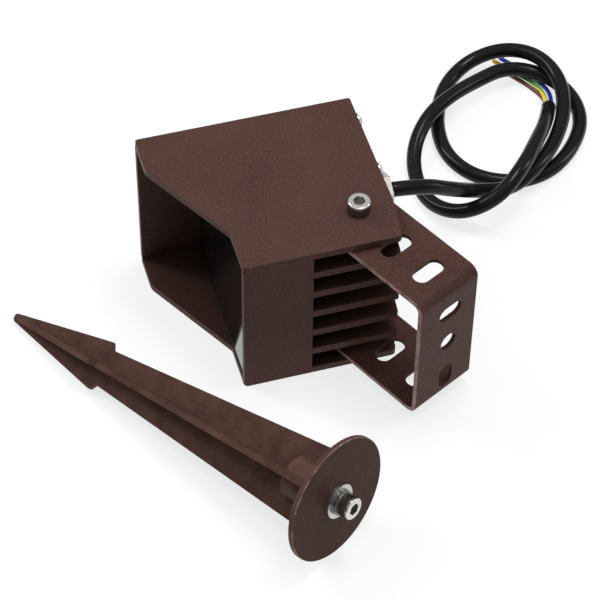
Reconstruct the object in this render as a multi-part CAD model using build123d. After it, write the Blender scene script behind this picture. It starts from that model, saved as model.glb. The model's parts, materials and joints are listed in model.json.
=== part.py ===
from build123d import *
import math
import os

# Garden projector lamp on a ground stake, laid down beside its stake.
# Millimetres, +Z up. The lamp lies on one of its flat side plates, the stake lies loose
# next to it, and the origin is under the middle of the two.
#
# Lamp frame: u runs from the rear face to the mouth of the hood, v from the back of the
# hood to the finned side, z across the two side plates. It maps to the part's frame as
# X = HEAD_X + v, Y = HEAD_Y - u, Z = z.

# ---------------------------------------------------------------- driving dimensions
HEAD_X, HEAD_Y = -97.5, 70.5     # rear corner of the hood wall
LAMP_LENGTH = 100.0              # rear face to mouth, u
LAMP_DEPTH = 87.0                # hood wall to finned side, v
LAMP_WIDTH = 80.0                # across the side plates, z
PLATE = 3.5                      # side plates
WALL = 3.0                       # other cast walls
MOUTH_V = 19.2                   # depth of the hood at its mouth
FRONT_U = 73.5                   # front edge of the glazed box
REAR_SLANT_U, REAR_SLANT_V = 2.2, 66.0
FIN_END_U = 42.0                 # where the fins meet the lamp chamber
FIN, FIN_PITCH, FIN_COUNT = 3.8, 12.8, 5
BOX_V = 48.0                     # outer face of the driver box, roots of the fins

GLASS, GLASS_BACK_U = 3.0, 70.0
GASKET_RIM = 2.0                 # rubber showing round the glass
SEAT_U, SEAT_WIDTH = 66.0, 3.0   # cast ledge behind the glass

COVER = 3.0
REAR_GASKET = 1.5
COVER_FIT = 0.15                 # gap round the rear cover
COVER_SCREW_V, COVER_SCREW_Z = (8.0, 40.0), (8.0, 72.0)
COVER_SCREW_R, COVER_SCREW = 2.0, 12.0
COVER_HEAD_R, COVER_HEAD_H, COVER_HEAD_SKIRT = 4.1, 3.6, 1.7
DOME_HEX, DOME_SOCKET = 2.5, 1.3 # sockets of the domed screws
BOSS_R, BOSS_END_U = 5.5, 14.0
BOSS_BOTTOM = 1.0                # solid end of a screw boss
GASKET_BAND = 10.5               # width of the rear gasket's frame

GLAND_V, GLAND_Z = 24.0, 40.0
GLAND_THREAD_R = 6.0
GLAND_WALL_IN = 0.4              # step from the thread to the bore of the cap
GLAND_BASE, GLAND_BASE_AF = 4.0, 16.0
GLAND_CAP, GLAND_CAP_AF = 8.7, 15.6
GLAND_LIP, GLAND_SEAL = 1.0, 5.0 # closed end of the cap, and the seal behind it
GLAND_INSIDE = 6.5               # thread length behind the cover's outer face
LOCKNUT, LOCKNUT_AF = 3.0, 16.0
TAIL_END_U = 9.0                 # where the cable's jacket ends inside the lamp
DRIVER_U, DRIVER_V, DRIVER_Z = (15.0, 48.0), (9.0, 40.0), (14.0, 66.0)
DRIVER_CORNER = 2.0
LEAD_PITCH = 2.4

BOARD_V, BOARD_Z = (51.0, 83.0), (10.0, 70.0)
BOARD, PAD = 1.6, 0.5
BOARD_SCREW_V, BOARD_SCREW_Z = (54.0, 80.0), (13.5, 66.5)
BOARD_SCREW_R, BOARD_HEAD_R, BOARD_HEAD_H = 1.5, 2.75, 1.6
BOARD_SCREW_SHORT = 0.5          # the screws stop this far inside the wall's far face
LED_V, LED_Z = (59.0, 75.0), (22.0, 40.0, 58.0)
LED, LED_HEIGHT = 3.5, 1.2
LENS_BASE_R, LENS_TOP_R, LENS_HEIGHT, LENS_PLATE = 3.2, 7.2, 9.0, 2.0
LENS_PLATE_Z = (12.5, 67.5)
LENS_LEG_R, LENS_LEG_Z = 1.5, (14.5, 65.5)

PIVOT_U, PIVOT_V = 16.2, 67.6
M6_R, M6_HEAD_R, M6_HEAD_H, M6_HEX, M6_SOCKET = 3.0, 5.0, 6.0, 5.0, 3.2
M6_HEAD_ROUND = 0.6
UNDER_HEAD = 0.1                 # gap under the screw heads and washers
PIVOT_CLEAR = 0.05               # radial running clearance of the pivot screws
NUT_AF, NUT = 10.0, 5.0
SCREW_PROUD = 1.0                # screw showing past its nut
SINK_R, SINK = 6.1, 3.2          # countersink in the lower side plate
FLUSH_HEAD_R, FLUSH_HEAD = 5.85, 3.0
FLUSH_UP = 0.2                   # the flush screw's head sits this far inside the plate
FLUSH_HEX, FLUSH_SOCKET = 4.0, 2.4
HEX_BLANK = 0.612                # radius of a nut's round blank, as a share of its width
HEX_CHAMFER = (0.102, 0.061)     # the blank's chamfer, as shares of the same width

SHEET = 2.0                      # bracket
ARM_GAP = 0.4                    # between the side plates and the bracket's arms
BRACKET_WIDTH = 34.0
BRACKET_REACH = 56.5             # pivot to the outer face of the web
BRACKET_BEND = 5.0               # outer bend radius
BRACKET_TURN = 26.8              # degrees from +X at rest
ARM_SLOT, ARM_SLOT_WIDTH, ARM_SLOTS_AT = 15.8, 8.0, (23.4, 43.0)
WEB_SLOT, WEB_SLOT_WIDTH, WEB_SLOT_Z = 13.3, 8.0, 60.0
WEB_HOLES_ASIDE = 1.3            # the web's holes sit this far off its middle
WEB_HOLE_R, WEB_HOLE_Z = 4.5, 40.0
WEB_OVAL, WEB_OVAL_WIDTH, WEB_OVAL_Z = 13.3, 8.0, 16.5

STAKE_TOP = (81.2, 12.4, 29.33)  # centre of the flange's face
STAKE_AIM = (-0.8218, -0.5520)   # direction to the tip, in plan
STAKE_LENGTH = 192.0
STAKE_ROLL = 53.0                # degrees from level to its first blade
FLANGE_R, FLANGE = 29.0, 2.5
BLADE = 2.6
BLADE_TOP, BLADE_NECK, BLADE_BARB, BLADE_TIP = 18.7, 8.6, 11.8, 1.7
BLADE_SHOULDER, BLADE_POINT = 2.0, 1.1
TIP_BEVEL = 1.2
BLADE_ROOT = 0.5                 # blades and boss run this far into the flange
FLANGE_CHAMFER = 0.35
BARB_AT = 135.0
BARB_RUN = 2.0
BARB_ROUND, NECK_ROUND = 0.9, 0.5
STAKE_BOSS_R, STAKE_BOSS_END, STAKE_BOSS_ROUND = 10.2, 24.25, 2.5
STAKE_BOLT_LENGTH = 25.0
BOLT_HOLE_SPARE = 2.0            # hole left past the bolt's end
FLAT_WASHER_R, FLAT_WASHER = 8.0, 1.5
SPRING_WASHER_R, SPRING_WASHER = 5.9, 1.6
SPRING_SPLIT, SPRING_SPLIT_TILT = (4.0, 0.8, 4.0), 25.0

CABLE_R = 3.6
WIRE_R = 1.1
ARC_SHARE = 0.45                 # share of the shorter run that a cord's arc takes
# From the gland: two loose laps, then the end strand over the first one.
CABLE_ROUTE = (
    (-73.5, 83.2, 40), (-73, 99.5, 39), (-77, 116, 27.5), (-83.5, 131, 15.5), (-84, 148.5, 11),
    (-93.5, 165.5, 13), (-108.5, 180, 12), (-127, 191.5, 11.6), (-147, 196, 13.5), (-165, 190.5, 14.5),
    (-176.5, 177, 11.5), (-178, 160, 6.5), (-169.5, 145.5, 3.6), (-155.5, 136, 3.6), (-138.5, 129.5, 3.6),
    (-119.5, 128.5, 3.6), (-103, 137, 3.6), (-94, 154, 3.6), (-96, 173, 3.6), (-108.5, 189.5, 3.6),
    (-126, 201, 3.6), (-145.5, 201.5, 4), (-160, 191, 6.3), (-165.8, 174.5, 8.8), (-158.5, 155.5, 10.5),
    (-149.5, 138.5, 13), (-139.5, 124, 12), (-126.5, 113.5, 7), (-110, 109, 3.6), (-91, 110.5, 4),
    (-75.5, 121, 10.5), (-72.5, 138, 20), (-83.5, 153.5, 26.5), (-101, 166.5, 22.5), (-118, 178, 15.5),
    (-134, 185.8, 8.2),
)
WIRE_ROUTES = {
    "wire_earth": (
        (-134.7, 184.9, 8.8), (-146.6, 188.6, 4.1), (-157.6, 187.2, 2.3), (-166, 182, 1.4),
        (-173, 177.2, 1.1), (-179.3, 173, 1.1),
    ),
    "wire_neutral": (
        (-133.7, 186.9, 8.8), (-146.4, 192.2, 3.3), (-158.4, 190.6, 1.1), (-167.5, 185.6, 1.1),
        (-174.4, 181, 1.1), (-180.4, 176.9, 1.1),
    ),
    "wire_live": (
        (-133.6, 185.6, 7), (-146.6, 188.9, 1.1), (-156.5, 184.8, 1.1), (-162.5, 181.1, 1.1),
        (-168.3, 177.2, 1.1),
    ),
}

PARTS = {}


# ---------------------------------------------------------------- helpers
def lamp(u, v, z=0.0):
    """A point given in the lamp frame."""
    return Vector(HEAD_X + v, HEAD_Y - u, z)


def lamp_box(u, v, z):
    """A box given by its (low, high) pairs in the lamp frame."""
    low, high = lamp(u[1], v[0], z[0]), lamp(u[0], v[1], z[1])
    return Pos(*((low + high) / 2)) * Box(*(high - low))


def prism(outline, z_low, z_high):
    """An outline of (u, v, corner radius) points raised between two heights."""
    points = [lamp(u, v) for u, v, _ in outline]
    line = FilletPolyline(*points, radius=[r for _, _, r in outline], close=True)
    return Pos(0, 0, z_low) * extrude(make_face(line), z_high - z_low, dir=(0, 0, 1))


def rod_along(start, direction, radius, length):
    """A round rod from a point, along a direction."""
    return extrude(Plane(start, z_dir=direction) * Circle(radius), length)


def hexagon(flats):
    return RegularPolygon(flats / 2, 6, major_radius=False)


def hex_along(start, direction, flats, length):
    """A hexagonal bar from a point, along a direction, its far corners turned off."""
    plane = Plane(start, z_dir=direction)
    bar = extrude(plane * hexagon(flats), length)
    blank = extrude(plane * Circle(HEX_BLANK * flats), length)
    end = blank.faces().sort_by(Axis(start, direction))[-1]
    inward, along = (share * flats for share in HEX_CHAMFER)
    return bar & chamfer(end.edges(), length=inward, length2=along)


def socket_screw(start, direction, shank, head_r=M6_HEAD_R, head_h=M6_HEAD_H):
    """A socket cap screw: its head stands on the start point and its shank points away."""
    head = rod_along(start, direction, head_r, head_h)
    end = head.faces().sort_by(Axis(start, direction))[-1]
    head = fillet(end.edges(), M6_HEAD_ROUND)
    socket_at = Vector(start) + Vector(direction).normalized() * (head_h - M6_SOCKET)
    socket = extrude(Plane(socket_at, z_dir=direction) * hexagon(M6_HEX), M6_SOCKET)
    return head - socket + rod_along(start, Vector(direction) * -1, M6_R, shank)


def dome_screw(start, direction, shank_r, shank, head_r, head_h, skirt=0.0):
    """A domed screw with a hexagon socket; skirt is the straight part of its head."""
    dome_h = head_h - skirt
    sphere_r = (head_r ** 2 + dome_h ** 2) / (2 * dome_h)
    plane = Plane(start, z_dir=direction)
    dome = plane * Pos(0, 0, head_h - sphere_r) * Sphere(sphere_r)
    head = dome & rod_along(start, direction, head_r, head_h)
    head -= plane * Pos(0, 0, head_h - DOME_SOCKET) * extrude(hexagon(DOME_HEX), DOME_SOCKET)
    return head + rod_along(start, Vector(direction) * -1, shank_r, shank)


def ring(start, direction, outer, inner, thickness):
    return rod_along(start, direction, outer, thickness) - rod_along(start, direction, inner, thickness)


def slot_prism(place, length, width, depth):
    """A round-ended slot cut both ways from a place whose z axis runs through it."""
    return place * Pos(0, 0, -depth / 2) * extrude(SlotOverall(length, width), depth)


# ---------------------------------------------------------------- lamp housing
def plate_outline():
    return (
        (0, 0, 1.2), (LAMP_LENGTH, 0, 1.5), (LAMP_LENGTH, MOUTH_V, 9), (FRONT_U, 65.4, 3),
        (FRONT_U, LAMP_DEPTH, 2), (REAR_SLANT_U, LAMP_DEPTH, 2.5), (0, REAR_SLANT_V, 6),
    )


def fin_outline():
    return (
        (0, BOX_V - 1, 0), (0, REAR_SLANT_V, 6), (REAR_SLANT_U, LAMP_DEPTH - 0.3, 1),
        (FIN_END_U + 1, LAMP_DEPTH - 0.3, 0), (FIN_END_U + 1, BOX_V - 1, 0),
    )


def cover_screw_places():
    return [(v, z) for v in COVER_SCREW_V for z in COVER_SCREW_Z]


def make_housing():
    inside = (PLATE, LAMP_WIDTH - PLATE)
    body = prism(plate_outline(), 0, PLATE) + prism(plate_outline(), inside[1], LAMP_WIDTH)
    body += lamp_box((0, LAMP_LENGTH), (0, WALL), inside)
    body += lamp_box((0, FIN_END_U + WALL), (BOX_V - WALL, BOX_V), inside)
    body += lamp_box((FIN_END_U, FIN_END_U + WALL), (BOX_V - WALL, LAMP_DEPTH), inside)
    body += lamp_box((FIN_END_U, FRONT_U), (LAMP_DEPTH - WALL, LAMP_DEPTH), inside)
    for index in range(FIN_COUNT):
        middle = LAMP_WIDTH / 2 + (index - (FIN_COUNT - 1) / 2) * FIN_PITCH
        body += prism(fin_outline(), middle - FIN / 2, middle + FIN / 2)
    ledge_u = (SEAT_U, GLASS_BACK_U - REAR_GASKET)
    ledge = lamp_box(ledge_u, (WALL, LAMP_DEPTH - WALL), inside)
    opening_z = (inside[0] + SEAT_WIDTH, inside[1] - SEAT_WIDTH)
    ledge -= lamp_box(ledge_u, (WALL + SEAT_WIDTH, LAMP_DEPTH - WALL - SEAT_WIDTH), opening_z)
    body += ledge
    boss_start = COVER + REAR_GASKET
    for v, z in cover_screw_places():
        body += rod_along(lamp(boss_start, v, z), (0, -1, 0), BOSS_R, BOSS_END_U - boss_start)
    for v, z in cover_screw_places():
        body -= rod_along(lamp(0, v, z), (0, -1, 0), COVER_SCREW_R, BOSS_END_U - BOSS_BOTTOM)
    pivot = lamp(PIVOT_U, PIVOT_V)
    body -= rod_along(pivot, (0, 0, 1), M6_R + PIVOT_CLEAR, PLATE)
    body -= Pos(*pivot) * Pos(0, 0, SINK / 2) * Cone(SINK_R, M6_R + PIVOT_CLEAR, SINK)
    body -= rod_along(lamp(PIVOT_U, PIVOT_V, inside[1]), (0, 0, 1), M6_R + PIVOT_CLEAR, PLATE)
    for v, z in board_screw_places():
        body -= rod_along(lamp(FIN_END_U + WALL, v, z), (0, 1, 0), BOARD_SCREW_R, WALL)
    PARTS["housing"] = body


# ---------------------------------------------------------------- rear cover and gland
def make_rear():
    v = (WALL + COVER_FIT, BOX_V - WALL - COVER_FIT)
    z = (PLATE + COVER_FIT, LAMP_WIDTH - PLATE - COVER_FIT)
    cover = lamp_box((0, COVER), v, z)
    gasket_u = (COVER, COVER + REAR_GASKET)
    window_v = (v[0] + GASKET_BAND, v[1] - GASKET_BAND)
    window_z = (z[0] + GASKET_BAND, z[1] - GASKET_BAND)
    gasket = lamp_box(gasket_u, v, z) - lamp_box(gasket_u, window_v, window_z)
    screws = []
    for sv, sz in cover_screw_places():
        hole = rod_along(lamp(0, sv, sz), (0, -1, 0), COVER_SCREW_R, COVER + REAR_GASKET)
        cover -= hole
        gasket -= hole
        screws.append(dome_screw(lamp(0, sv, sz), (0, 1, 0), COVER_SCREW_R, COVER_SCREW,
                                 COVER_HEAD_R, COVER_HEAD_H, COVER_HEAD_SKIRT))
    cover -= rod_along(lamp(0, GLAND_V, GLAND_Z), (0, -1, 0), GLAND_THREAD_R, COVER)
    PARTS["rear_cover"] = cover
    PARTS["rear_gasket"] = gasket
    PARTS["cover_screws"] = Compound(screws)


def make_gland():
    out, back = Vector(0, 1, 0), Vector(0, -1, 0)
    face = lamp(0, GLAND_V, GLAND_Z)
    base_end = face + out * GLAND_BASE
    cap_end = base_end + out * GLAND_CAP
    cap_bore_r = GLAND_THREAD_R - GLAND_WALL_IN
    sleeve = GLAND_CAP - GLAND_LIP - GLAND_SEAL
    inner_end = lamp(TAIL_END_U, GLAND_V, GLAND_Z)
    tail = rod_along(inner_end, out, CABLE_R, cap_end.Y - inner_end.Y)
    body = hex_along(face, out, GLAND_BASE_AF, GLAND_BASE)
    body += rod_along(face, back, GLAND_THREAD_R, GLAND_INSIDE)
    body += rod_along(base_end, out, cap_bore_r, sleeve)
    cap = hex_along(base_end, out, GLAND_CAP_AF, GLAND_CAP)
    cap -= rod_along(base_end, out, cap_bore_r, GLAND_CAP - GLAND_LIP)
    nut = hex_along(lamp(COVER, GLAND_V, GLAND_Z), back, LOCKNUT_AF, LOCKNUT)
    PARTS["gland_body"] = body - tail
    PARTS["gland_cap"] = cap - tail
    PARTS["gland_seal"] = rod_along(base_end + out * sleeve, out, cap_bore_r, GLAND_SEAL) - tail
    PARTS["gland_locknut"] = nut - rod_along(face, back, GLAND_THREAD_R, GLAND_INSIDE)
    PARTS["cable_tail"] = tail


# ---------------------------------------------------------------- light source
def board_screw_places():
    return [(v, z) for v in BOARD_SCREW_V for z in BOARD_SCREW_Z]


def make_light():
    wall_u = FIN_END_U + WALL
    board_u = wall_u + PAD
    led_u = board_u + BOARD
    pad = lamp_box((wall_u, board_u), BOARD_V, BOARD_Z)
    board = lamp_box((board_u, led_u), BOARD_V, BOARD_Z)
    screws = []
    for v, z in board_screw_places():
        hole = rod_along(lamp(wall_u, v, z), (0, -1, 0), BOARD_SCREW_R, PAD + BOARD)
        pad -= hole
        board -= hole
        shank = PAD + BOARD + WALL - BOARD_SCREW_SHORT
        screws.append(dome_screw(lamp(led_u, v, z), (0, -1, 0), BOARD_SCREW_R, shank,
                                 BOARD_HEAD_R, BOARD_HEAD_H))
    chips = []
    lens_start = led_u + LED_HEIGHT
    plate_u = (lens_start + LENS_HEIGHT, lens_start + LENS_HEIGHT + LENS_PLATE)
    lenses = lamp_box(plate_u, BOARD_V, LENS_PLATE_Z)
    for v in LED_V:
        for z in LED_Z:
            half = LED / 2
            chips.append(lamp_box((led_u, lens_start), (v - half, v + half), (z - half, z + half)))
            cone = Cone(LENS_BASE_R, LENS_TOP_R, LENS_HEIGHT)
            lenses += Plane(lamp(lens_start, v, z), z_dir=(0, -1, 0)) * Pos(0, 0, LENS_HEIGHT / 2) * cone
    for z in LENS_LEG_Z:
        foot = lamp(led_u, sum(LED_V) / 2, z)
        lenses += rod_along(foot, (0, -1, 0), LENS_LEG_R, LED_HEIGHT + LENS_HEIGHT)
    PARTS["thermal_pad"] = pad
    PARTS["led_board"] = board
    PARTS["led_chips"] = Compound(chips)
    PARTS["board_screws"] = Compound(screws)
    PARTS["lens_plate"] = lenses


def make_driver():
    box = lamp_box(DRIVER_U, DRIVER_V, DRIVER_Z)
    PARTS["driver_box"] = fillet(box.edges().filter_by(Axis.Z), DRIVER_CORNER)
    leads = []
    for offset in (-LEAD_PITCH, 0, LEAD_PITCH):
        start = lamp(TAIL_END_U, GLAND_V, GLAND_Z + offset)
        leads.append(rod_along(start, (0, -1, 0), WIRE_R, DRIVER_U[0] - TAIL_END_U))
    PARTS["inner_leads"] = Compound(leads)


def make_glazing():
    v, z = (WALL, LAMP_DEPTH - WALL), (PLATE, LAMP_WIDTH - PLATE)
    gasket = lamp_box((GLASS_BACK_U - REAR_GASKET, GLASS_BACK_U + GLASS), v, z)
    glass_v = (v[0] + GASKET_RIM, v[1] - GASKET_RIM)
    glass_z = (z[0] + GASKET_RIM, z[1] - GASKET_RIM)
    glass = lamp_box((GLASS_BACK_U, GLASS_BACK_U + GLASS), glass_v, glass_z)
    gasket -= glass
    window_v = (v[0] + SEAT_WIDTH, v[1] - SEAT_WIDTH)
    window_z = (z[0] + SEAT_WIDTH, z[1] - SEAT_WIDTH)
    gasket -= lamp_box((SEAT_U, GLASS_BACK_U + GLASS), window_v, window_z)
    PARTS["front_glass"] = glass
    PARTS["glass_gasket"] = gasket


# ---------------------------------------------------------------- bracket and its pivot
def bracket_place():
    turn = math.radians(BRACKET_TURN)
    return Plane(lamp(PIVOT_U, PIVOT_V), x_dir=(math.cos(turn), math.sin(turn), 0), z_dir=(0, 0, 1))


def make_bracket():
    low, high = PLATE + ARM_GAP, LAMP_WIDTH - PLATE - ARM_GAP
    arm_end = -BRACKET_WIDTH / 2
    outer = FilletPolyline((arm_end, low), (BRACKET_REACH, low), (BRACKET_REACH, high), (arm_end, high),
                           radius=BRACKET_BEND)
    sheet = make_face(outer + Line((arm_end, high), (arm_end, low)))
    inner_bend = BRACKET_BEND - SHEET
    inside_x, inside = BRACKET_REACH - SHEET, (low + SHEET, high - SHEET)
    inner = FilletPolyline((arm_end, inside[0]), (inside_x, inside[0]), (inside_x, inside[1]),
                           (arm_end, inside[1]), radius=inner_bend)
    sheet -= make_face(inner + Line((arm_end, inside[1]), (arm_end, inside[0])))
    strip = extrude(Plane.XZ * sheet, BRACKET_WIDTH / 2, both=True)
    plan = Cylinder(BRACKET_WIDTH / 2, LAMP_WIDTH * 2)
    plan += Pos(BRACKET_REACH / 2, 0, 0) * Box(BRACKET_REACH, BRACKET_WIDTH, LAMP_WIDTH * 2)
    bracket = strip & plan
    middle = LAMP_WIDTH / 2
    for at in ARM_SLOTS_AT:
        bracket -= slot_prism(Pos(at, 0, middle) * Rot(0, 0, 90), ARM_SLOT, ARM_SLOT_WIDTH, LAMP_WIDTH)
    across = Plane((BRACKET_REACH, WEB_HOLES_ASIDE, 0), x_dir=(0, 1, 0), z_dir=(1, 0, 0))
    through = 6 * SHEET
    bracket -= slot_prism(across * Pos(0, WEB_SLOT_Z, 0), WEB_SLOT, WEB_SLOT_WIDTH, through)
    bracket -= slot_prism(across * Pos(0, WEB_OVAL_Z, 0) * Rot(0, 0, 90), WEB_OVAL, WEB_OVAL_WIDTH, through)
    bracket -= across * Pos(0, WEB_HOLE_Z, 0) * Cylinder(WEB_HOLE_R, through)
    bracket -= Pos(0, 0, middle) * Cylinder(M6_R, LAMP_WIDTH)
    PARTS["bracket"] = bracket_place() * bracket


def make_pivot():
    shank = UNDER_HEAD + PLATE + ARM_GAP + SHEET + NUT + SCREW_PROUD
    PARTS["pivot_cap_screw"] = socket_screw(lamp(PIVOT_U, PIVOT_V, LAMP_WIDTH + UNDER_HEAD), (0, 0, 1), shank)
    lower = lamp(PIVOT_U, PIVOT_V, FLUSH_UP)
    flush = Pos(*lower) * Pos(0, 0, FLUSH_HEAD / 2) * Cone(FLUSH_HEAD_R, M6_R, FLUSH_HEAD)
    flush += rod_along(lower, (0, 0, 1), M6_R, shank - UNDER_HEAD - FLUSH_UP)
    flush -= Pos(*lower) * extrude(hexagon(FLUSH_HEX), FLUSH_SOCKET - FLUSH_UP)
    PARTS["pivot_flush_screw"] = flush
    nuts = []
    for z in (PLATE + ARM_GAP + SHEET, LAMP_WIDTH - PLATE - ARM_GAP - SHEET - NUT):
        seat = lamp(PIVOT_U, PIVOT_V, z)
        nuts.append(Pos(*seat) * extrude(hexagon(NUT_AF), NUT) - rod_along(seat, (0, 0, 1), M6_R, NUT))
    PARTS["pivot_nuts"] = Compound(nuts)


# ---------------------------------------------------------------- stake and its bolt
def stake_direction():
    """Along the stake from its flange to its tip, with flange rim and tip on the floor."""
    tip_low = BLADE_TIP * math.sin(math.radians(STAKE_ROLL)) + BLADE / 2 * math.cos(math.radians(STAKE_ROLL))
    dip = math.atan((FLANGE_R - tip_low) / (STAKE_LENGTH - FLANGE))
    plan = Vector(*STAKE_AIM, 0).normalized()
    return plan * math.cos(dip) - Vector(0, 0, math.sin(dip))


def stake_place():
    """z runs to the tip, x is level."""
    direction = stake_direction()
    return Plane(STAKE_TOP, x_dir=direction.cross(Vector(0, 0, 1)), z_dir=direction)


def make_blade():
    """One of the two crossed blades, with its pair of barbs."""
    half = (
        (BLADE_TOP, FLANGE - BLADE_ROOT, 0), (BLADE_NECK, BARB_AT, NECK_ROUND),
        (BLADE_BARB, BARB_AT + BARB_RUN, BARB_ROUND), (BLADE_SHOULDER, STAKE_LENGTH - TIP_BEVEL, 0),
        (BLADE_POINT, STAKE_LENGTH, 0),
    )
    outline = half + tuple((-x, s, r) for x, s, r in reversed(half))
    line = FilletPolyline(*[(x, s) for x, s, _ in outline], radius=[r for _, _, r in outline], close=True)
    face = Plane.XZ * make_face(line)
    return extrude(face, BLADE / 2, both=True)


def make_stake():
    disc = Pos(0, 0, FLANGE / 2) * Cylinder(FLANGE_R, FLANGE)
    stake = chamfer(disc.edges(), FLANGE_CHAMFER)
    blade = make_blade()
    for turn in (STAKE_ROLL, STAKE_ROLL + 90):
        stake += Rot(0, 0, turn) * blade
    boss_start = FLANGE - BLADE_ROOT
    boss = Pos(0, 0, (boss_start + STAKE_BOSS_END) / 2) * Cylinder(STAKE_BOSS_R, STAKE_BOSS_END - boss_start)
    stake += fillet(boss.edges().sort_by(Axis.Z)[-1:], STAKE_BOSS_ROUND)
    hole_length = STAKE_BOLT_LENGTH - FLAT_WASHER - SPRING_WASHER + BOLT_HOLE_SPARE
    stake -= Pos(0, 0, hole_length / 2) * Cylinder(M6_R + PIVOT_CLEAR, hole_length)
    PARTS["stake"] = stake_place() * stake


def make_stake_bolt():
    place = stake_place()
    out = place.z_dir * -1
    face = place.origin + out * UNDER_HEAD
    under_spring = face + out * FLAT_WASHER
    under_head = under_spring + out * SPRING_WASHER
    PARTS["stake_bolt"] = socket_screw(under_head, out, STAKE_BOLT_LENGTH)
    PARTS["flat_washer"] = ring(face, out, FLAT_WASHER_R, M6_R, FLAT_WASHER)
    spring = ring(under_spring, out, SPRING_WASHER_R, M6_R, SPRING_WASHER)
    split_at = Pos((M6_R + SPRING_WASHER_R) / 2, 0, SPRING_WASHER / 2) * Rot(SPRING_SPLIT_TILT, 0, 0)
    spring -= Plane(under_spring, z_dir=out) * split_at * Box(*SPRING_SPLIT)
    PARTS["spring_washer"] = spring


# ---------------------------------------------------------------- cable
def cord(name, route, radius):
    """A tube of straight runs joined by arcs as large as the runs allow."""
    points = [Vector(*point) for point in route]
    radii = []
    for before, corner, after in zip(points, points[1:], points[2:]):
        turn = math.radians((corner - before).get_angle(after - corner))
        shorter = min((corner - before).length, (after - corner).length)
        radii.append(ARC_SHARE * shorter / math.tan(turn / 2))
    print(name, "radii", [round(r) for r in radii])
    path = FilletPolyline(*points, radius=radii)
    start = Plane(points[0], z_dir=points[1] - points[0])
    tube = sweep(start * Circle(radius), path)
    share = tube.volume / (math.pi * radius ** 2 * path.length)
    print(name, "length", round(path.length, 1), "volume over section times length", round(share, 4))
    PARTS[name] = tube


# ---------------------------------------------------------------- everything
make_housing()
make_rear()
make_gland()
make_light()
make_driver()
make_glazing()
make_bracket()
make_pivot()
make_stake()
make_stake_bolt()
cord("cable_jacket", CABLE_ROUTE, CABLE_R)
for wire, route in WIRE_ROUTES.items():
    cord(wire, route, WIRE_R)

os.makedirs("parts", exist_ok=True)
for name, shape in PARTS.items():
    export_step(shape, f"parts/{name}.step")
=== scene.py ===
import json
import math

import bmesh
import bpy
from mathutils import Matrix, Vector


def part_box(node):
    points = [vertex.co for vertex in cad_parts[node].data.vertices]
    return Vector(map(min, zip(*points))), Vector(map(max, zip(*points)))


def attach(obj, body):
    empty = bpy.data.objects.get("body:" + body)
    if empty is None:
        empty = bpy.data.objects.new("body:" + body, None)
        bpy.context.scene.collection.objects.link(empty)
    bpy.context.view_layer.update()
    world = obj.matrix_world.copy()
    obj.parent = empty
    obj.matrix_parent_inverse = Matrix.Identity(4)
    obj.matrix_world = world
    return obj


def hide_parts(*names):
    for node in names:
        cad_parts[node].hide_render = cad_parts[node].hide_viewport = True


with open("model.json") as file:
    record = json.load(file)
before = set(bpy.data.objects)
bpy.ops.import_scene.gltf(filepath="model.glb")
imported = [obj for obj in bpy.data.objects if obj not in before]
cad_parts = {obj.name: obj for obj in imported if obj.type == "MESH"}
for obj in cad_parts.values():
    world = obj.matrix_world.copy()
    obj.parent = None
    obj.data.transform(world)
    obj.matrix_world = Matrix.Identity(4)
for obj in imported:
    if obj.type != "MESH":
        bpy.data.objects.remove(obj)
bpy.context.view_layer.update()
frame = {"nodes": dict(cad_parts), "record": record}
nodes = frame["nodes"]
MM = 0.001


# ---------------------------------------------------------------- camera
CAMERA_PLACE = Vector((0.6704, -0.1823, 0.8768))
CAMERA_HEADING = math.radians(163.27)    # in plan, from +X
CAMERA_DIP = math.radians(49.24)
CAMERA_ROLL = math.radians(0.84)
CAMERA_LENS, CAMERA_SENSOR = 150.0, 36.0
CAMERA_NEAR = 0.05


def make_camera():
    look = Vector((math.cos(CAMERA_HEADING), math.sin(CAMERA_HEADING), 0)) * math.cos(CAMERA_DIP)
    look.z = -math.sin(CAMERA_DIP)
    level = look.cross(Vector((0, 0, 1))).normalized()
    upright = level.cross(look)
    right = level * math.cos(CAMERA_ROLL) + upright * math.sin(CAMERA_ROLL)
    up = right.cross(look)
    data = bpy.data.cameras.new("camera")
    data.sensor_width = CAMERA_SENSOR
    data.lens = CAMERA_LENS
    data.clip_start = CAMERA_NEAR
    camera = bpy.data.objects.new("camera", data)
    turn = Matrix((right, up, -look)).transposed()
    camera.matrix_world = Matrix.Translation(CAMERA_PLACE) @ turn.to_4x4()
    bpy.context.scene.collection.objects.link(camera)
    bpy.context.scene.camera = camera


make_camera()


# ---------------------------------------------------------------- node helpers
NOISE_SPAN = (0.3, 0.7)          # where most of a noise's values lie
SHELTER_SAMPLES = 8


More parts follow.
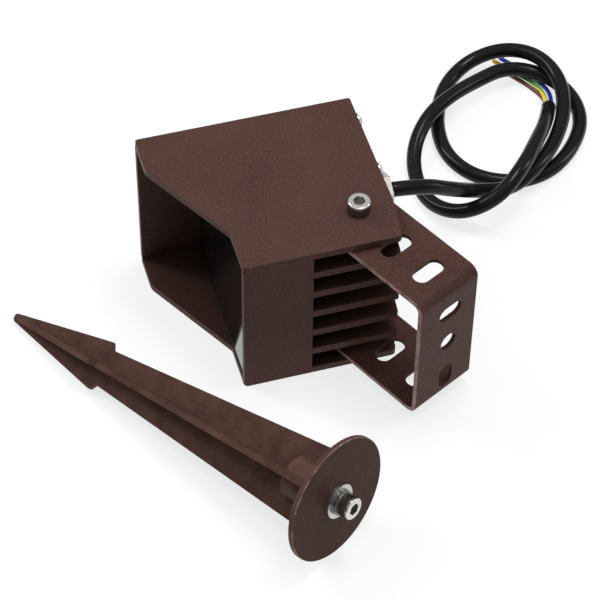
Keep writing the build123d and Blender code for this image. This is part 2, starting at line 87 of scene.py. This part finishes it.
class Shader:
    """A node material being built; each call adds one node and returns its main output."""

    def __init__(self, name):
        self.material = bpy.data.materials.new(name)
        self.material.use_nodes = True
        self.tree = self.material.node_tree
        self.bsdf = self.tree.nodes["Principled BSDF"]
        self.place = self.tree.nodes.new("ShaderNodeTexCoord").outputs["Object"]

    def set(self, **values):
        for name, value in values.items():
            self.bsdf.inputs[name.replace("_", " ")].default_value = value

    def link(self, output, name):
        self.tree.links.new(output, self.bsdf.inputs[name])

    def fill(self, sockets, values):
        """Links each socket to an output, or sets it to a plain number or vector."""
        for socket, value in zip(sockets, values):
            if isinstance(value, bpy.types.NodeSocket):
                self.tree.links.new(value, socket)
            else:
                socket.default_value = value

    def noise(self, scale, detail=2.0, roughness=0.5, stretch=None):
        """Noise with the given number of cycles per metre."""
        node = self.tree.nodes.new("ShaderNodeTexNoise")
        node.inputs["Scale"].default_value = scale
        node.inputs["Detail"].default_value = detail
        node.inputs["Roughness"].default_value = roughness
        place = self.place
        if stretch is not None:
            mapping = self.tree.nodes.new("ShaderNodeMapping")
            mapping.inputs["Scale"].default_value = stretch
            self.tree.links.new(place, mapping.inputs["Vector"])
            place = mapping.outputs["Vector"]
        self.tree.links.new(place, node.inputs["Vector"])
        return node.outputs["Fac"]

    def remap(self, value, low, high, to_low, to_high):
        node = self.tree.nodes.new("ShaderNodeMapRange")
        for name, number in (("From Min", low), ("From Max", high), ("To Min", to_low), ("To Max", to_high)):
            node.inputs[name].default_value = number
        self.tree.links.new(value, node.inputs["Value"])
        return node.outputs["Result"]

    def span(self, noise, low, high):
        """A noise's usual values, spread over a range."""
        return self.remap(noise, *NOISE_SPAN, low, high)

    def mix(self, factor, first, second):
        node = self.tree.nodes.new("ShaderNodeMix")
        node.data_type = "RGBA"
        self.tree.links.new(factor, node.inputs["Factor"])
        colours = [c if isinstance(c, bpy.types.NodeSocket) else (*c, 1) for c in (first, second)]
        self.fill(node.inputs[6:8], colours)
        return node.outputs[2]

    def math(self, kind, first, second=0.0):
        node = self.tree.nodes.new("ShaderNodeMath")
        node.operation = kind
        self.fill(node.inputs, (first, second))
        return node.outputs[0]

    def vector(self, kind, first, second, output="Vector"):
        node = self.tree.nodes.new("ShaderNodeVectorMath")
        node.operation = kind
        self.fill(node.inputs, (first, second))
        return node.outputs[output]

    def along(self, origin, axis):
        """How far a point lies from the origin along an axis, in metres."""
        return self.vector("DOT_PRODUCT", self.vector("SUBTRACT", self.place, origin), axis, "Value")

    def away(self, origin, axis):
        """How far a point lies from the line through the origin along an axis, in metres."""
        across = self.vector("CROSS_PRODUCT", self.vector("SUBTRACT", self.place, origin), axis)
        return self.vector("LENGTH", across, (0, 0, 0), "Value")

    def both(self, first, second):
        """The part that two masks share."""
        return self.math("MULTIPLY", first, second)

    def shelter(self, reach):
        """0 deep inside a hollow of the piece itself, 1 on its open faces."""
        node = self.tree.nodes.new("ShaderNodeAmbientOcclusion")
        node.only_local = True
        node.samples = SHELTER_SAMPLES
        node.inputs["Distance"].default_value = reach
        return node.outputs["AO"]

    def bump(self, height, distance, strength=1.0, below=None):
        node = self.tree.nodes.new("ShaderNodeBump")
        node.inputs["Strength"].default_value = strength
        node.inputs["Distance"].default_value = distance
        self.tree.links.new(height, node.inputs["Height"])
        if below is not None:
            self.tree.links.new(below, node.inputs["Normal"])
        return node.outputs["Normal"]


# ---------------------------------------------------------------- materials
POWDER_GRAIN = 1150              # cycles per metre, in the coats of lamp, bracket and stake
RUBBED_SHEET, RUBBED_RIM = (0.33, 0.23, 0.20), (0.36, 0.25, 0.215)
STEEL = (0.66, 0.65, 0.63)
# the knurl's dark colour is painted shade between its teeth
KNURL_PAINTED_SHADE, KNURL_LIGHT = (0.10, 0.098, 0.095), (0.50, 0.49, 0.47)
# the socket's colour is painted shade inside its recess
SOCKET_PAINTED_SHADE = (0.40, 0.38, 0.345)
KNURL_TEETH = 36
HEAD_HEIGHT = 6.0 * MM
HEAD_ROUND = (1.2 * MM, 1.4 * MM)     # the knurl starts between these depths under the head's top
HEAD_SIDE = (4.6 * MM, 4.8 * MM)      # and between these radii
HEAD_FOOT = 0.3 * MM                  # and fades out over this height above the head's underside
SOCKET_DEPTH = (0.3 * MM, 0.7 * MM)   # the socket starts between these depths
SOCKET_SIDE = (2.9 * MM, 3.0 * MM)    # and ends between these radii
TURNING_PITCH = 0.35 * MM             # of the rings on a screw's head
FLAT_WASHER_MIDDLE = 0.85 * MM   # from the flange's face
SPRING_WASHER_MIDDLE = 0.8 * MM  # from the underside of the bolt's head
RIM_AT = 28.5 * MM               # where the flange's rim starts, from the stake's axis
RIM_FADE = 0.3 * MM
FACE_DEPTH = (0.2 * MM, 0.5 * MM)     # the flange's face ends between these depths
EDGE_AT = 17.0 * MM              # half the width of the bracket's sheet
EDGE_FADE = 0.25 * MM
HOUSING_PAINTED_SHADE_REACH = 90 * MM         # reach over which painted shade darkens the housing's hollows
STRIPE_TURNS = 26.0              # turns of the green stripe per metre of wire


def scaled(colour, share):
    return tuple(c * share for c in colour)


def powder_coat(name, tint, sparkle, edge=None, painted_shade_reach=None):
    """Brown powder coat: a fine orange-peel texture that sparkles, with painted glints as lighter flecks in
    its colour, rubbed where an edge is given, and painted shade inside the hollows that are found within the
    given reach."""
    s = Shader(name)
    grain_and_glints = s.noise(POWDER_GRAIN, 2.0, 0.65)
    cloud = s.noise(38, 3.0)
    ground = s.mix(s.remap(cloud, 0.35, 0.68, 0, 1), scaled(tint, 0.82), tint)
    # painted glints: lighter flecks in the grain, up to 1.6 times the tint, stand in for the sparkle of
    # light
    colour = s.mix(s.remap(grain_and_glints, 0.50, 0.72, 0, 0.9), ground, scaled(tint, 1.6))
    if edge is not None:
        patches = s.remap(s.noise(210, 3.0, 0.65), 0.35, 0.62, 0.25, 1)
        side = s.math("ABSOLUTE", s.along(*edge))
        worn = s.both(s.remap(side, EDGE_AT - EDGE_FADE, EDGE_AT, 0, 1), patches)
        colour = s.mix(worn, colour, RUBBED_SHEET)
    # painted shade: deep inside the piece's own hollows, found by an occlusion mask, the coat darkens
    # towards 0.35 of its tint
    if painted_shade_reach is not None:
        unshaded = s.remap(s.shelter(painted_shade_reach), 0.25, 0.85, 0, 1)
        colour = s.mix(unshaded, scaled(tint, 0.35), colour)
    s.link(colour, "Base Color")
    s.link(s.span(cloud, 0.36, 0.46), "Roughness")
    peel = s.bump(s.noise(420, 1.0), 0.08 * MM, 0.5)
    s.link(s.bump(grain_and_glints, sparkle, 1.0, peel), "Normal")
    s.set(Specular_IOR_Level=0.06)
    return s.material


def stake_coat(flange, axis):
    """The stake's coat: a rough casting, drawn marks on the flange's face, and a rubbed flange rim."""
    s = Shader("stake_coat")
    fine = s.noise(POWDER_GRAIN, 2.0, 0.6)
    lumps = s.noise(95, 4.0, 0.6)
    marks = s.noise(240, 3.0, 0.65, (1, 1, 9))
    cast_light, cast_dark = (0.099, 0.0515, 0.0415), (0.064, 0.0325, 0.0260)
    face_light, face_dark = (0.059, 0.0290, 0.0225), (0.046, 0.0215, 0.0160)
    casting = s.mix(s.remap(lumps, 0.35, 0.65, 0, 1), cast_dark, cast_light)
    face = s.mix(s.remap(marks, 0.40, 0.65, 0, 1), face_dark, face_light)
    on_face = s.remap(s.along(flange, axis), *FACE_DEPTH, 1, 0)
    rim = s.both(s.remap(s.away(flange, axis), RIM_AT, RIM_AT + RIM_FADE, 0, 1), on_face)
    scuffs = s.remap(s.noise(300, 4.0, 0.7), 0.42, 0.60, 0.15, 1)
    s.link(s.mix(s.both(rim, scuffs), s.mix(on_face, casting, face), RUBBED_RIM), "Base Color")
    s.link(s.span(lumps, 0.30, 0.44), "Roughness")
    lumpy = s.bump(lumps, 0.5 * MM, 0.5, s.bump(marks, 0.06 * MM, 0.5))
    s.link(s.bump(fine, 0.05 * MM, 0.8, lumpy), "Normal")
    s.set(Specular_IOR_Level=0.045)
    return s.material


def turned_metal(name, colour, roughness, stretch=(1, 1, 1), scratch=0.01 * MM, spread=0.07):
    """Bare metal with fine tool marks; stretch sets their direction, spread how uneven its gloss is."""
    s = Shader(name)
    lines = s.noise(900, 3.0, 0.6, stretch)
    s.link(s.mix(s.span(s.noise(260, 2.0), 0, 1), scaled(colour, 0.80), colour), "Base Color")
    s.link(s.span(lines, roughness - spread, roughness + spread), "Roughness")
    s.link(s.bump(lines, scratch, 0.6), "Normal")
    s.set(Metallic=1.0)
    return s.material


def knurled_steel(name, top, axis):
    """A socket cap screw: knurl round its head with painted shade between its teeth, turned rings on its
    top, a socket in painted shade.
    """
    s = Shader(name)
    turn = axis.rotation_difference(Vector((0, 0, 1))).to_euler()
    mapping = s.tree.nodes.new("ShaderNodeMapping")
    mapping.inputs["Location"].default_value = -(turn.to_matrix() @ top)
    mapping.inputs["Rotation"].default_value = turn
    s.tree.links.new(s.place, mapping.inputs["Vector"])
    sweep = s.tree.nodes.new("ShaderNodeTexGradient")
    sweep.gradient_type = "RADIAL"
    s.tree.links.new(mapping.outputs["Vector"], sweep.inputs["Vector"])
    teeth = s.math("SINE", s.math("MULTIPLY", sweep.outputs["Fac"], 2 * math.pi * KNURL_TEETH))
    depth, radius = s.math("MULTIPLY", s.along(top, axis), -1.0), s.away(top, axis)
    above_foot = s.remap(depth, HEAD_HEIGHT - HEAD_FOOT, HEAD_HEIGHT, 1, 0)
    below_round = s.remap(depth, *HEAD_ROUND, 0, 1)
    on_side = s.both(s.both(below_round, above_foot), s.remap(radius, *HEAD_SIDE, 0, 1))
    in_socket = s.both(s.remap(depth, *SOCKET_DEPTH, 0, 1), s.remap(radius, *SOCKET_SIDE, 1, 0))
    # painted shade: the knurl's teeth alternate between near-black and lighter steel
    knurled = s.mix(s.remap(teeth, -0.6, 0.7, 0, 1), KNURL_PAINTED_SHADE, KNURL_LIGHT)
    # painted shade: the socket is coloured darker than the head's steel
    s.link(s.mix(in_socket, s.mix(on_side, STEEL, knurled), SOCKET_PAINTED_SHADE), "Base Color")
    rings = s.math("SINE", s.math("MULTIPLY", radius, 2 * math.pi / TURNING_PITCH))
    s.link(s.span(s.noise(700, 3.0), 0.16, 0.28), "Roughness")
    s.link(s.bump(s.both(on_side, teeth), 0.06 * MM, 1.0, s.bump(rings, 0.002 * MM, 0.5)), "Normal")
    s.set(Metallic=1.0)
    return s.material


def black_silicone():
    s = Shader("black_silicone")
    fine = s.noise(900, 3.0, 0.6)
    tint = (0.012, 0.012, 0.013)
    s.link(s.mix(fine, scaled(tint, 0.7), scaled(tint, 1.4)), "Base Color")
    s.link(s.span(s.noise(90, 2.0), 0.45, 0.56), "Roughness")
    s.link(s.bump(fine, 0.03 * MM, 0.6), "Normal")
    return s.material


def cable_rubber():
    """Glossy extruded jacket, with a slow waviness that breaks its highlights."""
    s = Shader("cable_jacket")
    slow = s.noise(70, 2.0)
    s.link(s.mix(slow, (0.0050, 0.0050, 0.0062), (0.0095, 0.0095, 0.0112)), "Base Color")
    s.link(s.span(slow, 0.15, 0.24), "Roughness")
    s.link(s.bump(s.noise(160, 2.0), 0.04 * MM, 0.5), "Normal")
    s.set(Specular_IOR_Level=0.14)
    return s.material


def dark_glass():
    """The unlit front: glass drawn as an opaque dark sheet, whose near-black colour is painted shade for the
    chamber behind it, with faint smears.
    """
    s = Shader("dark_glass")
    smears = s.noise(45, 4.0, 0.6)
    # painted shade: the near-black colour stands for the shaded chamber seen through the glass
    s.link(s.mix(smears, (0.004, 0.004, 0.0045), (0.008, 0.008, 0.009)), "Base Color")
    s.link(s.remap(smears, 0.35, 0.7, 0.02, 0.07), "Roughness")
    s.set(IOR=1.5)
    return s.material


def plain_plastic(name, colour, roughness):
    s = Shader(name)
    fine = s.noise(500, 2.0)
    s.link(s.mix(fine, scaled(colour, 0.85), colour), "Base Color")
    s.link(s.span(fine, roughness - 0.05, roughness + 0.05), "Roughness")
    s.link(s.bump(fine, 0.02 * MM, 0.5), "Normal")
    return s.material


def striped_wire():
    """Yellow insulation with a green stripe that winds slowly round it."""
    s = Shader("striped_wire")
    parts = s.tree.nodes.new("ShaderNodeSeparateXYZ")
    uv = s.tree.nodes.new("ShaderNodeTexCoord").outputs["UV"]
    s.tree.links.new(uv, parts.inputs[0])
    winding = s.math("ADD", parts.outputs[1], s.math("MULTIPLY", parts.outputs[0], STRIPE_TURNS))
    turn = s.math("FRACT", winding)
    stripe = s.remap(s.math("ABSOLUTE", s.math("SUBTRACT", turn, 0.5)), 0.17, 0.19, 1, 0)
    s.link(s.mix(stripe, (0.78, 0.60, 0.035), (0.10, 0.32, 0.035)), "Base Color")
    s.link(s.span(s.noise(300), 0.28, 0.4), "Roughness")
    return s.material


def mount(name):
    """The record's entry for a mount, by name."""
    return next(m for m in frame["record"]["mounts"] if m["name"] == name)


def joint(name):
    """The record's entry for a joint, by name."""
    return next(j for j in frame["record"]["behaviour"]["joints"] if j["name"] == name)


def middle(name):
    """The middle of a CAD node's box."""
    low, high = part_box(name)
    return (Vector(low) + Vector(high)) / 2


pivot_low, pivot_high = (Vector(corner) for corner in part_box("pivot_cap_screw"))
pivot_top = Vector(((pivot_low.x + pivot_high.x) / 2, (pivot_low.y + pivot_high.y) / 2, pivot_high.z))
stake_out = Vector(joint("bolt_out")["axis"])
flange_face = middle("flat_washer") - stake_out * FLAT_WASHER_MIDDLE
bolt_top = middle("spring_washer") + stake_out * (SPRING_WASHER_MIDDLE + HEAD_HEIGHT)
web_out = Vector(mount("bracket_hole")["axis"])
sheet_side = Vector((-web_out.y, web_out.x, 0))
MATERIALS = {
    # the housing's coat carries painted shade in its hollows
    "brown": powder_coat("brown_coat", (0.073, 0.0365, 0.0300), 0.24 * MM, painted_shade_reach=HOUSING_PAINTED_SHADE_REACH),
    "sheet": powder_coat("sheet_coat", (0.064, 0.0305, 0.0245), 0.21 * MM, (pivot_top, sheet_side)),
    "stake": stake_coat(flange_face, -stake_out),
    "steel": turned_metal("turned_steel", STEEL, 0.20, (1, 1, 6)),
    "pivot": knurled_steel("pivot_steel", pivot_top, Vector((0, 0, 1))),
    "bolt": knurled_steel("bolt_steel", bolt_top, stake_out),
    "spring": turned_metal("spring_steel", (0.22, 0.215, 0.21), 0.26, (1, 1, 8), 0.02 * MM),
    "washer": turned_metal("stamped_steel", (0.62, 0.61, 0.59), 0.30, (4, 1, 1)),
    "nickel": turned_metal("nickel_plate", (0.50, 0.475, 0.43), 0.30, (1, 1, 1), 0.001 * MM, 0.015),
    "silicone": black_silicone(),
    "jacket": cable_rubber(),
    "glass": dark_glass(),
    "earth": striped_wire(),
    "neutral": plain_plastic("blue_wire", (0.022, 0.035, 0.42), 0.3),
    "live": plain_plastic("brown_wire", (0.16, 0.055, 0.03), 0.35),
    "copper": turned_metal("tinned_copper", (0.72, 0.52, 0.40), 0.3),
    "board": plain_plastic("board_mask", (0.80, 0.80, 0.76), 0.4),
    "led": plain_plastic("led_phosphor", (0.85, 0.68, 0.12), 0.45),
    "lens": plain_plastic("lens_acrylic", (0.78, 0.80, 0.81), 0.12),
    "pad": plain_plastic("thermal_pad", (0.36, 0.37, 0.39), 0.7),
    "driver": plain_plastic("driver_case", (0.028, 0.028, 0.031), 0.5),
}
NODE_MATERIALS = {
    "brown": ("housing", "rear_cover"),
    "sheet": ("bracket",),
    "stake": ("stake",),
    "steel": ("cover_screws", "board_screws", "pivot_flush_screw"),
    "pivot": ("pivot_cap_screw",),
    "bolt": ("stake_bolt",),
    "spring": ("spring_washer",),
    "washer": ("pivot_nuts", "flat_washer"),
    "nickel": ("gland_body", "gland_cap", "gland_locknut"),
    "silicone": ("rear_gasket", "gland_seal", "glass_gasket"),
    "jacket": ("cable_tail",),
    "glass": ("front_glass",),
    "neutral": ("inner_leads",),
    "board": ("led_board",),
    "led": ("led_chips",),
    "lens": ("lens_plate",),
    "pad": ("thermal_pad",),
    "driver": ("driver_box",),
}


def dress_nodes():
    for key, names in NODE_MATERIALS.items():
        for name in names:
            mesh = nodes[name].data
            mesh.materials.clear()
            mesh.materials.append(MATERIALS[key])


EDGE_ROUNDS = {"housing": 0.45, "bracket": 0.4, "rear_cover": 0.3, "stake": 0.5}    # millimetres
SHARP_EDGE = math.radians(40)


def soften_edges():
    """Rolled edges on the coated pieces, so they catch the light."""
    for name, width in EDGE_ROUNDS.items():
        bevel = nodes[name].modifiers.new("rolled_edges", "BEVEL")
        bevel.width = width * MM
        bevel.segments = 2
        bevel.limit_method = "ANGLE"
        bevel.angle_limit = SHARP_EDGE
        bevel.harden_normals = True


# ---------------------------------------------------------------- cable and wires
CABLE_RADIUS, WIRE_RADIUS = 3.6 * MM, 1.1 * MM
CABLE_SIDES, WIRE_SIDES = 32, 20
JACKET_END_RIM, END_HOLLOW = 1.0 * MM, 1.5      # width of the cut end's rim, and its depth as a share of it
ROUTE_STEPS = 12                 # points of a line per stretch of its route
CABLE_ROUTE = (
    (-73.5, 83.2, 40), (-73, 99.5, 39), (-77, 116, 27.5), (-83.5, 131, 15.5), (-84, 148.5, 11),
    (-93.5, 165.5, 13), (-108.5, 180, 12), (-127, 191.5, 11.6), (-147, 196, 13.5), (-165, 190.5, 14.5),
    (-176.5, 177, 11.5), (-178, 160, 6.5), (-169.5, 145.5, 3.6), (-155.5, 136, 3.6), (-138.5, 129.5, 3.6),
    (-119.5, 128.5, 3.6), (-103, 137, 3.6), (-94, 154, 3.6), (-96, 173, 3.6), (-108.5, 189.5, 3.6),
    (-126, 201, 3.6), (-145.5, 201.5, 4), (-160, 191, 6.3), (-165.8, 174.5, 8.8), (-158.5, 155.5, 10.5),
    (-149.5, 138.5, 13), (-139.5, 124, 12), (-126.5, 113.5, 7), (-110, 109, 3.6), (-91, 110.5, 4),
    (-75.5, 121, 10.5), (-72.5, 138, 20), (-83.5, 153.5, 26.5), (-101, 166.5, 22.5), (-118, 178, 15.5),
    (-134, 185.8, 8.2),
)
WIRE_ROUTES = {
    "earth": (
        (-134.7, 184.9, 8.8), (-146.6, 188.6, 4.1), (-157.6, 187.2, 2.3), (-166, 182, 1.4),
        (-173, 177.2, 1.1), (-179.3, 173, 1.1),
    ),
    "neutral": (
        (-133.7, 186.9, 8.8), (-146.4, 192.2, 3.3), (-158.4, 190.6, 1.1), (-167.5, 185.6, 1.1),
        (-174.4, 181, 1.1), (-180.4, 176.9, 1.1),
    ),
    "live": (
        (-133.6, 185.6, 7), (-146.6, 188.9, 1.1), (-156.5, 184.8, 1.1), (-162.5, 181.1, 1.1),
        (-168.3, 177.2, 1.1),
    ),
}


def route_line(route):
    """The points of a smooth line that follows a route given in millimetres."""
    curve = bpy.data.curves.new("route", "CURVE")
    curve.dimensions = "3D"
    spline = curve.splines.new("NURBS")
    spline.points.add(len(route) - 1)
    for point, place in zip(spline.points, route):
        point.co = (*(Vector(place) * MM), 1)
    spline.order_u = 3
    spline.use_endpoint_u = True
    spline.resolution_u = ROUTE_STEPS
    carrier = bpy.data.objects.new("route", curve)
    mesh = bpy.data.meshes.new_from_object(carrier)
    line = [vertex.co.copy() for vertex in mesh.vertices]
    bpy.data.objects.remove(carrier)
    bpy.data.curves.remove(curve)
    bpy.data.meshes.remove(mesh)
    return line


def tube(name, line, radius, sides, material, end_rim=0.0):
    """A tube along a line, with its length and its turn in the UV map; end_rim hollows its far end."""
    mesh = bpy.data.meshes.new(name)
    bm = bmesh.new()
    uv_layer = bm.loops.layers.uv.new("UVMap")
    side = Vector((0, 0, 1))
    rings, lengths, travelled = [], [], 0.0
    for index, place in enumerate(line):
        before, after = line[max(index - 1, 0)], line[min(index + 1, len(line) - 1)]
        along = (after - before).normalized()
        side = (side - along * side.dot(along)).normalized()
        across = along.cross(side)
        if index:
            travelled += (place - line[index - 1]).length
        lengths.append(travelled)
        ring = []
        for step in range(sides):
            angle = 2 * math.pi * step / sides
            ring.append(bm.verts.new(place + (side * math.cos(angle) + across * math.sin(angle)) * radius))
        rings.append(ring)
    for row, (first, second) in enumerate(zip(rings, rings[1:])):
        for step in range(sides):
            nxt = (step + 1) % sides
            face = bm.faces.new((first[step], second[step], second[nxt], first[nxt]))
            corners = ((row, step), (row + 1, step), (row + 1, step + 1), (row, step + 1))
            for loop, (at, turn) in zip(face.loops, corners):
                loop[uv_layer].uv = (lengths[at], turn / sides)
    bm.faces.new(rings[0])
    end = bm.faces.new(list(reversed(rings[-1])))
    if end_rim:
        bmesh.ops.inset_region(bm, faces=[end], thickness=end_rim)
        along = (line[-1] - line[-2]).normalized()
        bmesh.ops.translate(bm, verts=end.verts, vec=-along * end_rim * END_HOLLOW)
    bmesh.ops.recalc_face_normals(bm, faces=bm.faces)
    bm.to_mesh(mesh)
    bm.free()
    for polygon in mesh.polygons:
        polygon.use_smooth = len(polygon.vertices) == 4
    mesh.materials.append(material)
    piece = bpy.data.objects.new(name, mesh)
    bpy.context.scene.collection.objects.link(piece)
    return piece


def make_cable():
    line = route_line(CABLE_ROUTE)
    cable = tube("cable", line, CABLE_RADIUS, CABLE_SIDES, MATERIALS["jacket"], JACKET_END_RIM)
    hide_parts("cable_jacket")
    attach(cable, "lamp")
    for key, route in WIRE_ROUTES.items():
        line = route_line(route)
        wire = tube("wire_" + key + "_insulation", line, WIRE_RADIUS, WIRE_SIDES, MATERIALS[key])
        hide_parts("wire_" + key)
        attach(wire, "lamp")


# ---------------------------------------------------------------- floor and lights
FLOOR_SIZE = 14.0
FLOOR_GREY, FLOOR_GLOW = 0.25, 0.74             # lit together, they show as white
WORLD_STRENGTH = 0.7
HORIZON, ZENITH = (0.10, (0.10, 0.10, 0.105)), (0.80, (1, 1, 1))    # height and colour
# Name: place, what it faces, width, height, watts.
LIGHTS = {
    "overhead": ((-0.15, 0.30, 1.3), (0, 0, 0), 0.6, 0.35, 8),
    "left": ((-0.70, -0.75, 0.95), (0, 0, 0), 0.25, 0.9, 7),
    "right": ((0.05, 1.35, 0.50), (0, 0, 0.02), 0.25, 0.7, 3),
}


def make_floor():
    bpy.ops.mesh.primitive_plane_add(size=FLOOR_SIZE)
    floor = bpy.context.object
    floor.name = "floor"
    s = Shader("floor_white")
    s.set(Base_Color=(FLOOR_GREY, FLOOR_GREY, FLOOR_GREY, 1), Roughness=0.9, Specular_IOR_Level=0.0)
    s.set(Emission_Color=(1, 1, 1, 1), Emission_Strength=FLOOR_GLOW)
    floor.data.materials.append(s.material)


def area_light(name, place, aim, width, height, watts):
    data = bpy.data.lights.new(name, "AREA")
    data.energy = watts
    data.shape = "RECTANGLE"
    data.size, data.size_y = width, height
    light = bpy.data.objects.new(name, data)
    light.location = place
    light.rotation_euler = (Vector(aim) - Vector(place)).to_track_quat("-Z", "Y").to_euler()
    bpy.context.scene.collection.objects.link(light)


def make_light():
    """A studio that is dim near the horizon and bright overhead, and three soft boxes."""
    world = bpy.data.worlds.new("studio")
    world.use_nodes = True
    tree = world.node_tree
    sky = tree.nodes.new("ShaderNodeTexCoord").outputs["Generated"]
    parts = tree.nodes.new("ShaderNodeSeparateXYZ")
    ramp = tree.nodes.new("ShaderNodeValToRGB")
    for stop, (height, colour) in zip(ramp.color_ramp.elements, (HORIZON, ZENITH)):
        stop.position = height
        stop.color = (*colour, 1)
    tree.links.new(sky, parts.inputs[0])
    tree.links.new(parts.outputs["Z"], ramp.inputs["Fac"])
    tree.links.new(ramp.outputs["Color"], tree.nodes["Background"].inputs["Color"])
    tree.nodes["Background"].inputs["Strength"].default_value = WORLD_STRENGTH
    bpy.context.scene.world = world
    bpy.context.scene.view_settings.view_transform = "Standard"
    for name, settings in LIGHTS.items():
        area_light(name, *settings)


dress_nodes()
soften_edges()
make_cable()
make_floor()
make_light()
